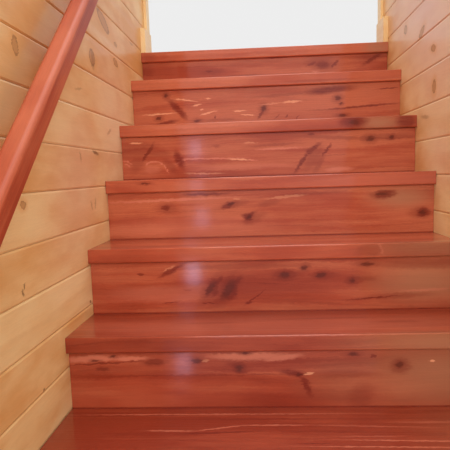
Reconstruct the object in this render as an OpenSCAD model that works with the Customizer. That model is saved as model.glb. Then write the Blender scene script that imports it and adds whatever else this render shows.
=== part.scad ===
// Enclosed straight flight of cedar stairs between two pine-boarded walls, with a handrail on the left wall.
// X runs across the flight, Y runs up the flight and Z is up, in millimetres.
// The origin is on the floor in the middle of the footprint.

/* [Flight] */
// Height from the top of one tread to the top of the next
rise = 178; // [150:1:215]
// Distance from one nosing to the next, measured level
going = 216; // [180:1:300]
// Number of treads between the floor and the landing
tread_count = 10; // [4:1:12]
// Clear width between the boarded faces of the two walls
clear_w = 965; // [700:1:1300]

/* [Treads and risers] */
// Thickness of a tread
tread_t = 38; // [25:1:50]
// How far a tread's nosing stands out past the riser below it
nosing = 19; // [10:1:35]
// Radius of the eased edges of a nosing
nosing_r = 4; // [1:0.5:8]
// Thickness of a riser board
riser_t = 19; // [12:1:25]
// Gap between the end of a tread or riser and the wall
end_gap = 0.5; // [0.3:0.1:0.9]

/* [Carriages and landing] */
// Thickness of a carriage
carriage_t = 38; // [30:1:60]
// Width of the plank that a carriage is cut from
carriage_w = 286; // [250:1:340]
// Depth of the plate on the floor that the carriages are notched over
kicker_w = 89; // [60:1:120]
// Height of that plate
kicker_t = 38; // [25:1:50]
// Height of the joist at the edge of the landing
header_h = 286; // [240:1:340]
// Thickness of that joist
header_t = 38; // [30:1:60]
// Depth of the landing board from its nosing to its back edge
landing_d = 140; // [120:1:300]

/* [Walls] */
// Height of a wall above the line of the nosings, measured plumb
wall_h = 1050; // [900:1:1250]
// How far the walls run out in front of the first nosing
wall_lead = 120; // [90:1:400]
// Thickness of the boards on each face of a wall
board_t = 18; // [12:1:25]
// Depth of a stud
stud_d = 89; // [60:1:140]
// Thickness of studs and plates
stud_t = 38; // [30:1:50]
// Distance from one stud to the next
stud_pitch = 406; // [300:1:610]
// Thickness of the cap on top of a wall
cap_t = 30; // [18:1:45]
// How far the cap stands out past the trim on each face and end
cap_lip = 8; // [4:1:30]
// Radius of the cap's eased edges
cap_r = 5; // [1:0.5:8]
// Gap of the mitre between the raked cap and the level cap
mitre_gap = 0.3; // [0.1:0.1:0.8]

/* [Trim] */
// Thickness of the boards that wrap the ends of a wall
trim_t = 12; // [8:1:20]
// How far they run along each face of the wall
trim_leg = 60; // [30:1:70]
// Thickness of the baseboard on the landing
base_t = 19; // [10:1:25]
// Height of that baseboard
base_h = 95; // [60:1:140]

/* [Handrail] */
// Height of the rail's top above the line of the nosings, measured plumb
rail_h = 716; // [600:1:850]
// Width of the rail
rail_w = 43; // [35:1:60]
// Depth of the rail, measured square to its slope
rail_d = 48; // [35:1:75]
// Gap between the rail and the wall
rail_gap = 40; // [30:1:70]
// Radius of the rail's two upper edges
rail_top_r = 12; // [3:0.5:16]
// Radius of the rail's two lower edges
rail_low_r = 7; // [2:0.5:16]

/* [Rail brackets] */
// Distance from each end of the rail to its nearest bracket
bracket_inset = 260; // [100:1:400]
// Diameter of a bracket's arm
arm_d = 12; // [8:1:18]
// Height from the middle of the arm to the underside of the rail
arm_drop = 57; // [50:1:80]
// Bend radius of the arm, to its centre line
bend_r = 49; // [20:1:50]
// Diameter of the round plate against the wall
rose_d = 50; // [40:1:90]
// Thickness of that plate at its middle
rose_t = 8; // [4:1:12]
// Length of the saddle under the rail
saddle_l = 60; // [40:1:100]
// Width of the saddle
saddle_w = 26; // [20:1:30]
// Thickness of the saddle
saddle_t = 4; // [3:0.5:8]

/* [Hidden] */
function two_digits(k) = k < 10 ? str("0", k) : str(k);
function tread_name(k) = str("tread_", two_digits(k));
function riser_name(k) = str("riser_", two_digits(k));
riser_count = tread_count + 1;
bracket_names = ["rail_bracket_low", "rail_bracket_middle", "rail_bracket_high"];

cedar = "#b5573c";
cedar_dark = "#9c4630";
pine = "#d9a566";
pine_trim = "#e3b878";
framing = "#cdb083";
bronze = "#4a3b2e";
round_fn = 48;

// Slope of the flight
pitch = rise / going;
slope = atan(pitch);
plumb = 1 / cos(slope);

// Levels: the carriages are stepped one full rise each, and every tread lies on its step
landing_z = riser_count * rise;
landing_under = landing_z - tread_t;
header_low = landing_under - header_h;
function step_z(k) = k * rise;

// Places along the flight, counted from the front cut of the carriages, then moved to the middle of the footprint
flight_run = tread_count * going;
wall_front = -riser_t - nosing - wall_lead;
wall_back = flight_run - riser_t - nosing + landing_d;
shift_y = -(wall_front + wall_back) / 2;
function cut_y(k) = (k - 1) * going + shift_y;
function riser_y(k) = cut_y(k) - riser_t;
function nose_y(k) = riser_y(k) - nosing;
front_y = wall_front + shift_y;
back_y = wall_back + shift_y;
landing_nose_y = nose_y(riser_count);

// The line through the upper front edges of the treads
function nose_line_z(y) = step_z(1) + tread_t + (y - nose_y(1)) * pitch;

// Widths
half_w = clear_w / 2;
board_l = clear_w - 2 * end_gap;
frame_x = half_w + board_t;
outer_x = frame_x + stud_d;
wall_x = outer_x + board_t;

// The wall's top follows the nosings and turns level over the landing
wall_top = nose_line_z(landing_nose_y) + wall_h;
function wall_z(y) = min(wall_top, nose_line_z(y) + wall_h);

// An outline drawn as (along the flight, up) becomes a solid that runs from x0 towards +X
module across(x0, w) {
    translate([x0, 0, 0])
        rotate([90, 0, 90])
            linear_extrude(w)
                children();
}

// A rectangle with its two front corners rounded
module eased_board(d, t, r) {
    translate([r, 0])
        square([d - r, t]);
    translate([0, r])
        square([d, t - 2 * r]);
    translate([r, r])
        circle(r, $fn = round_fn);
    translate([r, t - r])
        circle(r, $fn = round_fn);
}

// Treads and risers
module tread(k) {
    color(cedar)
        across(-board_l / 2, board_l)
            translate([nose_y(k), step_z(k)])
                eased_board(going + nosing, tread_t, nosing_r);
}

module riser(k) {
    top = k == riser_count ? landing_under : step_z(k);
    low = step_z(k - 1);
    color(cedar_dark)
        translate([-board_l / 2, riser_y(k), low])
            cube([board_l, riser_t, top - low]);
}

module landing_nosing() {
    color(cedar)
        across(-board_l / 2, board_l)
            translate([landing_nose_y, landing_under])
                eased_board(landing_d, tread_t, nosing_r);
}

// Carriages: planks with a sawtooth upper edge, notched over the kicker and cut plumb against the header
steps_outline = [
    for (k = [1:tread_count])
        for (p = [[cut_y(k), step_z(k)], [cut_y(k + 1), step_z(k)]])
            p
];
throat = carriage_w - rise * cos(slope);
function under_z(y) = step_z(1) + (y - cut_y(2)) * pitch - throat * plumb;
function under_y(z) = cut_y(2) + (z - step_z(1) + throat * plumb) / pitch;
tail_z = max(header_low, under_z(cut_y(riser_count)));

module carriage(x) {
    color(framing)
        across(x, carriage_t)
            polygon(concat(
                steps_outline,
                [[cut_y(riser_count), tail_z], [under_y(tail_z), tail_z], [under_y(0), 0]],
                [[cut_y(1) + kicker_w, 0], [cut_y(1) + kicker_w, kicker_t], [cut_y(1), kicker_t]]
            ));
}

module kicker_plate() {
    color(framing)
        translate([-half_w, cut_y(1), 0])
            cube([clear_w, kicker_w, kicker_t]);
}

module landing_header() {
    color(framing)
        translate([-half_w, cut_y(riser_count), header_low])
            cube([clear_w, header_t, header_h]);
}

// Walls: a stud frame with boards on both faces, drawn as the left wall and mirrored for the right
knee_y = landing_nose_y;
wall_outline = [
    [front_y, 0], [back_y, 0], [back_y, wall_top], [knee_y, wall_top], [front_y, wall_z(front_y)]
];
bay_outline = [
    [front_y, stud_t], [back_y, stud_t], [back_y, wall_top - stud_t],
    [knee_y + stud_t * (plumb - 1) / pitch, wall_top - stud_t],
    [front_y, wall_z(front_y) - stud_t * plumb]
];
bay_count = floor((back_y - front_y - stud_t) / stud_pitch);
function bay_y(i) = front_y + i * stud_pitch + stud_t;
function bay_w(i) = (i < bay_count ? stud_pitch : back_y - front_y - i * stud_pitch - stud_t) - stud_t;

module wall_frame() {
    color(framing)
        across(-outer_x, stud_d)
            difference() {
                polygon(wall_outline);
                for (i = [0:bay_count])
                    if (bay_w(i) > 0)
                        intersection() {
                            polygon(bay_outline);
                            translate([bay_y(i), 0])
                                square([bay_w(i), wall_top]);
                        }
            }
}

module wall_boards(x) {
    color(pine)
        across(x, board_t)
            polygon(wall_outline);
}

// The cap is two boards, one on the raked top and one on the level top, mitred where they meet
cap_front = front_y - trim_t - cap_lip;
cap_back = back_y + trim_t + cap_lip;
cap_w = wall_x - half_w + 2 * (trim_t + cap_lip);

module cap_section() {
    translate([cap_r, 0])
        square([cap_w - 2 * cap_r, cap_t]);
    translate([0, cap_r])
        square([cap_w, cap_t - 2 * cap_r]);
    for (x = [cap_r, cap_w - cap_r])
        for (z = [cap_r, cap_t - cap_r])
            translate([x, z])
                circle(cap_r, $fn = round_fn);
}

module cap_run(y0, y1, z, tilt) {
    reach = cap_t * plumb;
    translate([-wall_x - trim_t - cap_lip, y0, z])
        rotate([90 + tilt, 0, 0])
            translate([0, 0, -(y1 - y0) / cos(tilt) - reach])
                linear_extrude((y1 - y0) / cos(tilt) + 2 * reach)
                    cap_section();
}

module wall_cap() {
    mitre = cap_t * tan(slope / 2);
    big = 2 * cap_w;
    color(pine_trim) {
        intersection() {
            cap_run(cap_front, knee_y, wall_z(cap_front), slope);
            across(-wall_x - big, 2 * big)
                polygon([
                    [cap_front, 0], [knee_y, 0], [knee_y, wall_top],
                    [knee_y - mitre, wall_top + cap_t], [knee_y - mitre, wall_top + big],
                    [cap_front, wall_top + big]
                ]);
        }
        intersection() {
            cap_run(knee_y, cap_back, wall_top, 0);
            across(-wall_x - big, 2 * big)
                translate([mitre_gap, 0])
                    polygon([
                        [knee_y, 0], [cap_back - mitre_gap, 0], [cap_back - mitre_gap, wall_top + big],
                        [knee_y - mitre, wall_top + big], [knee_y - mitre, wall_top + cap_t],
                        [knee_y, wall_top]
                    ]);
        }
    }
}

// A board across the end of the wall with a leg along each face
module end_cover(y, low) {
    x0 = -wall_x - trim_t;
    x1 = -half_w + trim_t;
    translate([x0, y, low])
        cube([x1 - x0, trim_t, wall_top]);
}

module face_leg(x, y, low) {
    translate([x, y, low])
        cube([trim_t, trim_leg, wall_top]);
}

// What lies under the cap, for trim that is cut to the slope
module under_cap() {
    across(-wall_x - trim_leg, wall_x)
        polygon([
            [cap_front, 0], [cap_back, 0], [cap_back, wall_top],
            [knee_y, wall_top], [cap_front, wall_z(cap_front)]
        ]);
}

module front_trim() {
    color(pine_trim)
        intersection() {
            union() {
                end_cover(front_y - trim_t, 0);
                face_leg(-wall_x - trim_t, front_y - trim_t, 0);
                face_leg(-half_w, front_y - trim_t, 0);
            }
            under_cap();
        }
}

module back_trim() {
    leg_y = back_y + trim_t - trim_leg;
    color(pine_trim)
        intersection() {
            union() {
                end_cover(back_y, 0);
                face_leg(-wall_x - trim_t, leg_y, 0);
                face_leg(-half_w, leg_y, landing_z + base_h);
            }
            under_cap();
        }
}

module baseboard() {
    color(pine_trim)
        translate([-half_w, landing_nose_y + nosing_r, landing_z])
            cube([base_t, back_y - landing_nose_y - nosing_r, base_h]);
}

module right_side() {
    mirror([1, 0, 0])
        children();
}

// Handrail: follows the slope between plumb ends over the first and the last nosing
rail_x = -half_w + rail_gap + rail_w / 2;
rail_y0 = nose_y(1);
rail_y1 = landing_nose_y;
function rail_top_z(y) = nose_line_z(y) + rail_h;
function rail_under_z(y) = rail_top_z(y) - rail_d * plumb;

module rail_section() {
    side = rail_w / 2;
    translate([-side, rail_low_r])
        square([rail_w, rail_d - rail_low_r - rail_top_r]);
    translate([-side + rail_low_r, 0])
        square([rail_w - 2 * rail_low_r, rail_d / 2]);
    translate([-side + rail_top_r, rail_d / 2])
        square([rail_w - 2 * rail_top_r, rail_d / 2]);
    for (s = [-1, 1]) {
        translate([s * (side - rail_low_r), rail_low_r])
            circle(rail_low_r, $fn = round_fn);
        translate([s * (side - rail_top_r), rail_d - rail_top_r])
            circle(rail_top_r, $fn = round_fn);
    }
}

module handrail() {
    run = (rail_y1 - rail_y0) * plumb;
    color(cedar)
        intersection() {
            translate([rail_x, rail_y0, rail_under_z(rail_y0)])
                rotate([90 + slope, 0, 0])
                    translate([0, 0, -run - rail_d])
                        linear_extrude(run + 2 * rail_d)
                            rail_section();
            translate([rail_x - rail_w, rail_y0, 0])
                cube([2 * rail_w, rail_y1 - rail_y0, rail_top_z(rail_y1) + rail_d]);
        }
}

// Brackets: a round plate on the wall, an arm that turns up, and a saddle that lies under the rail
bracket_places = [rail_y0 + bracket_inset, (rail_y0 + rail_y1) / 2, rail_y1 - bracket_inset];

module rose() {
    edge = rose_t / 2;
    rotate([0, 90, 0])
        rotate_extrude($fn = round_fn) {
            square([rose_d / 2, edge]);
            square([rose_d / 2 - edge, rose_t]);
            translate([rose_d / 2 - edge, edge])
                circle(edge, $fn = round_fn);
        }
}

module arm(stand_off, rise_to) {
    bend_x = stand_off - bend_r;
    rotate([0, 90, 0])
        cylinder(h = bend_x, d = arm_d, $fn = round_fn);
    translate([bend_x, 0, bend_r])
        rotate([90, 0, 0])
            rotate([0, 0, -90])
                rotate_extrude(angle = 90, $fn = round_fn)
                    translate([bend_r, 0])
                        circle(d = arm_d, $fn = round_fn);
    translate([stand_off, 0, bend_r])
        cylinder(h = rise_to - bend_r, d = arm_d, $fn = round_fn);
}

module rail_bracket(i) {
    y = bracket_places[i];
    stand_off = rail_gap + rail_w / 2;
    under = rail_under_z(y);
    color(bronze)
        translate([-half_w, y, under - arm_drop]) {
            difference() {
                union() {
                    rose();
                    arm(stand_off, arm_drop + arm_d);
                }
                translate([stand_off, 0, arm_drop])
                    rotate([slope, 0, 0])
                        translate([-saddle_w, -saddle_l, -saddle_t / 2])
                            cube([2 * saddle_w, 2 * saddle_l, saddle_l]);
            }
            translate([stand_off, 0, arm_drop])
                rotate([slope, 0, 0])
                    translate([-saddle_w / 2, -saddle_l / 2, -saddle_t])
                        cube([saddle_w, saddle_l, saddle_t]);
        }
}

for (k = [1:tread_count])
    tread(k);
for (k = [1:riser_count])
    riser(k);
landing_nosing();
landing_header();
kicker_plate();
carriage(-half_w);  // carriage_left
carriage(-carriage_t / 2);  // carriage_middle
carriage(half_w - carriage_t);  // carriage_right
wall_frame();  // left_wall_frame
wall_boards(-frame_x);  // left_inner_boards
wall_boards(-wall_x);  // left_outer_boards
wall_cap();  // left_wall_cap
front_trim();  // left_front_trim
back_trim();  // left_back_trim
baseboard();  // left_baseboard
right_side() wall_frame();  // right_wall_frame
right_side() wall_boards(-frame_x);  // right_inner_boards
right_side() wall_boards(-wall_x);  // right_outer_boards
right_side() wall_cap();  // right_wall_cap
right_side() front_trim();  // right_front_trim
right_side() back_trim();  // right_back_trim
right_side() baseboard();  // right_baseboard
handrail();
for (i = [0:len(bracket_names) - 1])
    rail_bracket(i);
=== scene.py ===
# %% [markdown]
# An enclosed flight of red cedar stairs runs up between two walls of knotty pine boards.
# The construction comes ready made as a frame of named nodes, so this lesson is about the finish:
# planks with knots and a thick clear gloss, and tongue-and-groove boards that meet in V grooves.
# The frame is loaded first, and its box is kept.

# %% Load the frame
import math
import random

import bmesh
import bpy
from mathutils import Matrix, Vector


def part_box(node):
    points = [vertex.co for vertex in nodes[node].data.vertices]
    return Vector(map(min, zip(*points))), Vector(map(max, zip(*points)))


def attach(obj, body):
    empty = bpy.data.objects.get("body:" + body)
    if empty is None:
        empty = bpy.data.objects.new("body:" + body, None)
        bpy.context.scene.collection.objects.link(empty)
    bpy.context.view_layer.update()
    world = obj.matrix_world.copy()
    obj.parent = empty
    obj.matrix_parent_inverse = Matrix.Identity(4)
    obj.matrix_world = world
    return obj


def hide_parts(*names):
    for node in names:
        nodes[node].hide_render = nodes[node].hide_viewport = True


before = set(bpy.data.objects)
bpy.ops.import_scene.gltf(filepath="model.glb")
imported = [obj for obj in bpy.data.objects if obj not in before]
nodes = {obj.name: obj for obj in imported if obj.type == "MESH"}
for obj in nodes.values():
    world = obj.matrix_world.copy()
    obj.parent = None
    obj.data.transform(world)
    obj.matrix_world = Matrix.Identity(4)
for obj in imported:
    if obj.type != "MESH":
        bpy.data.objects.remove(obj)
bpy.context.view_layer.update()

# %% [markdown]
# The sizes that the finish needs are read from the nodes, so they follow the construction if it changes.
# X runs across the flight, Y runs up the flight and Z is up, in metres.

# %% Measure the flight
treads = sorted(name for name in nodes if name.startswith("tread_"))
risers = sorted(name for name in nodes if name.startswith("riser_"))
first_low, first_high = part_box(treads[0])
second_low, second_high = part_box(treads[1])
GOING = second_low.y - first_low.y
RISE = second_high.z - first_high.z
SLOPE = math.atan2(RISE, GOING)
LANDING_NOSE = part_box("landing_nosing")[0]
LANDING_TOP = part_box("landing_nosing")[1].z
BOARD_LENGTH = first_high.x - first_low.x
print("rise", round(RISE, 3), "going", round(GOING, 3), "slope", round(math.degrees(SLOPE), 1))


# %% [markdown]
# A colour is easiest to judge as the three numbers of a paint program, from 0 to 255.
# Blender's shaders want linear light, so each colour goes through one small function.

# %% Colours
def paint(red, green, blue):
    def linear(value):
        share = value / 255
        return share / 12.92 if share <= 0.04045 else ((share + 0.055) / 1.055) ** 2.4

    return (linear(red), linear(green), linear(blue), 1.0)


CEDAR_LIGHT = paint(194, 101, 68)
CEDAR_MID = paint(172, 74, 47)
CEDAR_RED = paint(148, 53, 30)
CEDAR_DARK = paint(118, 32, 18)
CEDAR_KNOT = paint(94, 26, 14)
CEDAR_CREAM = paint(242, 168, 126)
# Partly the wood's own dull tan, partly painted reflection at the right ends of the steps.
CEDAR_PALE = paint(212, 122, 95)
CEDAR_BROWN = paint(172, 113, 82)
PINE_LIGHT = paint(250, 225, 170)
PINE_MID = paint(243, 208, 148)
PINE_DEEP = paint(226, 170, 102)
PINE_KNOT = paint(180, 132, 82)
PINE_LINE = paint(112, 70, 36)
# Painted reflection: a rosy tint where the boards would mirror the red steps and a window.
PINE_PAINTED_REFLECTION = paint(238, 206, 194)
# Painted shade and the rail's painted reflection: a darker orange tone for the band along the rail.
PINE_RAIL_SHADE = paint(198, 126, 66)
METAL = paint(46, 36, 30)
METAL_WORN = paint(78, 60, 44)
FLOOR_PALE = paint(238, 237, 234)
print("mid cedar in linear light:", [round(c, 3) for c in CEDAR_MID[:3]])


# %% [markdown]
# Shader nodes are easier to read when they are written like arithmetic.
# This helper holds one node tree, and each of its methods adds one node and hands back its output.
# A value may be a number or the output of another node, and it is plugged in the same way.

# %% A node tree that is written like arithmetic
class Graph:
    def __init__(self, tree):
        self.tree = tree

    def node(self, kind, **settings):
        made = self.tree.nodes.new(kind)
        for name, value in settings.items():
            setattr(made, name, value)
        return made

    def plug(self, socket, value):
        if isinstance(value, bpy.types.NodeSocket):
            self.tree.links.new(value, socket)
        else:
            socket.default_value = value

    def math(self, operation, a, b=0.0):
        made = self.node("ShaderNodeMath", operation=operation)
        self.plug(made.inputs[0], a)
        self.plug(made.inputs[1], b)
        return made.outputs[0]

    def times(self, a, b):
        return self.math("MULTIPLY", a, b)

    def over(self, a, b):
        return self.math("DIVIDE", a, b)

    def plus(self, a, b):
        return self.math("ADD", a, b)

    def minus(self, a, b):
        return self.math("SUBTRACT", a, b)

    def vector(self, operation, a, b=(0.0, 0.0, 0.0)):
        made = self.node("ShaderNodeVectorMath", operation=operation)
        self.plug(made.inputs[0], a)
        self.plug(made.inputs[1], b)
        return made.outputs["Value" if operation == "LENGTH" else "Vector"]

    def split(self, a):
        made = self.node("ShaderNodeSeparateXYZ")
        self.plug(made.inputs[0], a)
        return made.outputs

    def join(self, x, y, z):
        made = self.node("ShaderNodeCombineXYZ")
        for socket, value in zip(made.inputs, (x, y, z)):
            self.plug(socket, value)
        return made.outputs[0]

    def spin(self, a, angle):
        made = self.node("ShaderNodeVectorRotate", rotation_type="Z_AXIS")
        self.plug(made.inputs["Vector"], a)
        self.plug(made.inputs["Angle"], angle)
        return made.outputs[0]

    def mix(self, factor, a, b, blend="MIX"):
        made = self.node("ShaderNodeMix", data_type="RGBA", blend_type=blend)
        self.plug(made.inputs[0], factor)
        self.plug(made.inputs[6], a)
        self.plug(made.inputs[7], b)
        return made.outputs[2]

    def remap(self, value, low, high, new_low=0.0, new_high=1.0):
        made = self.node("ShaderNodeMapRange", interpolation_type="SMOOTHSTEP")
        for socket, number in zip(made.inputs, (value, low, high, new_low, new_high)):
            self.plug(socket, number)
        return made.outputs[0]

    def noise(self, place, scale, detail=2.0, roughness=0.5, seed=None, output="Fac"):
        made = self.node("ShaderNodeTexNoise", noise_dimensions="3D" if seed is None else "4D")
        self.plug(made.inputs["Vector"], place)
        self.plug(made.inputs["Scale"], scale)
        self.plug(made.inputs["Detail"], detail)
        self.plug(made.inputs["Roughness"], roughness)
        if seed is not None:
            self.plug(made.inputs["W"], seed)
        return made.outputs[output]

    def ramp(self, value, stops):
        made = self.node("ShaderNodeValToRGB")
        elements = made.color_ramp.elements
        while len(elements) < len(stops):
            elements.new(0.5)
        for element, (place, colour) in zip(elements, stops):
            element.position = place
            element.color = colour
        self.plug(made.inputs[0], value)
        return made.outputs["Color"]

    def group(self, tree, **values):
        made = self.node("ShaderNodeGroup", node_tree=tree)
        for name, value in values.items():
            self.plug(made.inputs[name], value)
        return made.outputs

    def finish(self, **results):
        """Gives a group its outputs, and hands back its finished tree."""
        for name, value in results.items():
            self.tree.interface.new_socket(name, in_out="OUTPUT", socket_type=SOCKETS[value.type])
        end = self.node("NodeGroupOutput").inputs
        for name, value in results.items():
            self.plug(end[name], value)
        return self.tree


def new_group(name, **inputs):
    """Starts a group with the inputs and their values; a value of three numbers makes a vector."""
    tree = bpy.data.node_groups.new(name, "ShaderNodeTree")
    for socket_name, value in inputs.items():
        kind = SOCKETS["VECTOR" if isinstance(value, tuple) else "VALUE"]
        tree.interface.new_socket(socket_name, in_out="INPUT", socket_type=kind).default_value = value
    graph = Graph(tree)
    return graph, graph.node("NodeGroupInput").outputs


SOCKETS = {"VALUE": "NodeSocketFloat", "VECTOR": "NodeSocketVector", "RGBA": "NodeSocketColor"}
ORIGIN = (0.0, 0.0, 0.0)
FAR = 9.0
print("node helper ready")


# %% [markdown]
# A knot is where a branch left the trunk, and the grain flows round it like water round a stone.
# One way is to paint a dark spot, but then the grain runs straight through it.
# Here each knot also bends the place that the grain is read from: near the knot it pulls
# towards the knot's middle, so the lines of grain open up and pass above and below it.
# "Near" is the distance to the nearest knot, counted in knot radii, for the colour later.
# The bend's length and width are counted in knot radii too.

# %% Group: one knot
BEND_LENGTH, BEND_WIDTH, BEND_PULL = 2.6, 1.7, 0.86


def make_knot_group():
    graph, start = new_group(
        "One knot", Place=ORIGIN, Near=FAR, Centre=ORIGIN, Length=0.02, Width=0.02, Tilt=0.0)
    gap = graph.vector("SUBTRACT", start["Place"], start["Centre"])
    long_radius = graph.times(start["Length"], 0.5)
    wide_radius = graph.times(start["Width"], 0.5)
    turned_along, turned_across, _ = graph.split(graph.spin(gap, graph.times(start["Tilt"], -1.0)))
    u = graph.over(turned_along, long_radius)
    v = graph.over(turned_across, wide_radius)
    reach = graph.vector("LENGTH", graph.join(u, v, 0.0))
    along, across, _ = graph.split(gap)
    far_u = graph.over(along, graph.times(long_radius, BEND_LENGTH))
    far_v = graph.over(across, graph.times(wide_radius, BEND_WIDTH))
    wide = graph.vector("LENGTH", graph.join(far_u, far_v, 0.0))
    fall = graph.math("EXPONENT", graph.times(graph.times(wide, wide), -1.0))
    pull = graph.times(graph.times(across, fall), -BEND_PULL)
    bent = graph.vector("ADD", start["Place"], graph.join(0.0, pull, 0.0))
    return graph.finish(Place=bent, Near=graph.math("MINIMUM", start["Near"], reach))


ONE_KNOT = make_knot_group()
print("group:", ONE_KNOT.name)


# %% [markdown]
# Other marks do not bend the grain: a pitch streak, a dash of cream sapwood, a stain. Each is a soft
# oval at a place on the board, turned by an angle, and it adds to a mask that grows as marks are
# chained one after another. The softness is how far inside and outside its edge it fades, as a share
# of its radius. A hollow oval is strongest along a ring at that share of its radius.
# Some marks are painted light: some stains and dark marks are painted shade, and some wide tones are painted
# reflection.

# %% Group: one mark
def make_mark_group():
    graph, start = new_group(
        "One mark", Place=ORIGIN, Mask=0.0, Centre=ORIGIN, Length=0.03, Width=0.01, Tilt=0.0, Hollow=0.0,
        Softness=0.5, Strength=1.0)
    gap = graph.vector("SUBTRACT", start["Place"], start["Centre"])
    along, across, _ = graph.split(graph.spin(gap, graph.times(start["Tilt"], -1.0)))
    u = graph.over(along, graph.times(start["Length"], 0.5))
    v = graph.over(across, graph.times(start["Width"], 0.5))
    reach = graph.vector("LENGTH", graph.join(u, v, 0.0))
    from_rim = graph.math("ABSOLUTE", graph.minus(reach, start["Hollow"]))
    reach = graph.over(from_rim, graph.minus(1.0, start["Hollow"]))
    inner = graph.minus(1.0, start["Softness"])
    outer = graph.plus(1.0, start["Softness"])
    mask = graph.times(graph.remap(reach, inner, outer, 1.0, 0.0), start["Strength"])
    return graph.finish(Mask=graph.math("MAXIMUM", start["Mask"], mask))


ONE_MARK = make_mark_group()
print("group:", ONE_MARK.name)


# %% [markdown]
# Most boards have a few knots of their own at places that nobody would choose by hand.
# A one-dimensional Voronoi pattern along the board gives one random point in every stretch of it,
# and its random colour gives how far across the board the knot sits and how large it is.
# "Share" is the part of the stretches that have a knot. In the others it is too small to be seen.

# %% Group: scattered knots
SEED_STEP = 17.31
SMALLEST_KNOT, KNOT_RANGE = 0.3, 0.8
KNOT_STRETCH = 1.3
UNSEEN = 0.0001


def make_scatter_group():
    graph, start = new_group(
        "Scattered knots", Place=ORIGIN, Near=FAR, Seed=0.0, Spacing=0.4, Middle=0.0, Spread=0.1, Size=0.02,
        Share=0.5)
    along, _, _ = graph.split(start["Place"])
    shift = graph.times(start["Seed"], SEED_STEP)
    step = graph.plus(graph.over(along, start["Spacing"]), shift)
    cells = graph.node("ShaderNodeTexVoronoi", voronoi_dimensions="1D")
    graph.plug(cells.inputs["W"], step)
    cells.inputs["Scale"].default_value = 1.0
    pick = graph.node("ShaderNodeSeparateColor")
    graph.plug(pick.inputs[0], cells.outputs["Color"])
    where, size, chance = pick.outputs
    centre_u = graph.times(graph.minus(cells.outputs["W"], shift), start["Spacing"])
    off_middle = graph.times(graph.minus(where, 0.5), start["Spread"])
    centre_v = graph.plus(off_middle, start["Middle"])
    width = graph.times(start["Size"], graph.plus(graph.times(size, KNOT_RANGE), SMALLEST_KNOT))
    present = graph.math("LESS_THAN", chance, start["Share"])
    width = graph.math("MAXIMUM", graph.times(width, present), UNSEEN)
    knot = graph.group(ONE_KNOT, Place=start["Place"], Near=start["Near"], Width=width,
                       Centre=graph.join(centre_u, centre_v, 0.0), Length=graph.times(width, KNOT_STRETCH))
    return graph.finish(Place=knot["Place"], Near=knot["Near"])


SCATTERED_KNOTS = make_scatter_group()
print("group:", SCATTERED_KNOTS.name)


# %% [markdown]
# Seen on a plank, the yearly rings of a trunk are long lines that bend slowly and close up in places.
# They are modelled as what they are: rings round the heart of the tree, which runs along the plank
# a little below its face, wobbling as a tree does. The distance from that heart, bent by a slow
# noise that is stretched along the plank, gives the rings. Wider noises of the same stretch give the
# bands of colour, and a very fine one gives the fibres. Each pair of waves is how many fit into a
# metre along the plank, and how many into a metre across it or out from the heart.

# %% Group: grain of a plank
SLOW_WAVES, BAND_WAVES, STREAK_WAVES = (1.6, 7.0), (1.7, 38.0), (2.6, 170.0)
CLOUD_WAVES, FIBRE_WAVES = (4.5, 13.0), (14.0, 900.0)
HEART_WANDER, HEART_OFFSET, HEART_STEP = 0.07, 0.05, 5.3
STREAK_SEED, CLOUD_SEED = 40.0, 9.0


def make_grain_group():
    graph, start = new_group("Plank grain", Place=ORIGIN, Seed=0.0, Ring=0.004, Heart=0.06)
    along, across, deep = graph.split(start["Place"])
    seed = start["Seed"]

    def stretched(waves, out, third):
        return graph.join(graph.times(along, waves[0]), graph.times(out, waves[1]), third)

    slow = graph.noise(stretched(SLOW_WAVES, across, deep), 1.0, 2.0, 0.5, seed)
    lean = graph.times(graph.minus(slow, 0.5), HEART_WANDER)
    heart_shift = graph.times(graph.math("SINE", graph.times(seed, HEART_STEP)), HEART_OFFSET)
    from_heart = graph.plus(graph.plus(across, heart_shift), lean)
    below = graph.plus(deep, start["Heart"])
    radius = graph.vector("LENGTH", graph.join(from_heart, below, 0.0))
    turn = graph.math("FRACT", graph.over(radius, start["Ring"]))
    rings = graph.minus(graph.remap(turn, 0.0, 0.75), graph.remap(turn, 0.8, 1.0))
    bands = graph.noise(stretched(BAND_WAVES, radius, 0.0), 1.0, 3.0, 0.55, seed)
    fibre_depth = graph.times(deep, FIBRE_WAVES[1])
    fibre = graph.noise(stretched(FIBRE_WAVES, across, fibre_depth), 1.0, 2.0, 0.6, seed)
    streak = graph.noise(stretched(STREAK_WAVES, radius, 7.0), 1.0, 2.0, 0.5, graph.plus(seed, STREAK_SEED))
    cloud = graph.noise(stretched(CLOUD_WAVES, across, deep), 1.0, 3.0, 0.5, graph.plus(seed, CLOUD_SEED))
    return graph.finish(Rings=rings, Bands=bands, Fibre=fibre, Streak=streak, Cloud=cloud)


PLANK_GRAIN = make_grain_group()
print("group:", PLANK_GRAIN.name)


# %% [markdown]
# Nothing in wood is a clean oval. Before any mark is read, the place itself is shaken a little by a
# noise, so the edges of knots and streaks come out ragged and their lines waver.

# %% Group: ragged place
RAGGED_WAVES = (70.0, 160.0, 70.0)


def make_ragged_group():
    graph, start = new_group("Ragged place", Place=ORIGIN, Amount=0.012, Seed=0.0)
    spread = graph.vector("MULTIPLY", start["Place"], RAGGED_WAVES)
    shake = graph.noise(spread, 1.0, 3.0, 0.6, start["Seed"], "Color")
    shake = graph.vector("SUBTRACT", shake, (0.5, 0.5, 0.5))
    along, across, _ = graph.split(shake)
    moved = graph.join(graph.times(along, graph.times(start["Amount"], 2.0)),
                       graph.times(across, start["Amount"]), 0.0)
    return graph.finish(Place=graph.vector("ADD", start["Place"], moved))


RAGGED_PLACE = make_ragged_group()
print("group:", RAGGED_PLACE.name)


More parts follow.
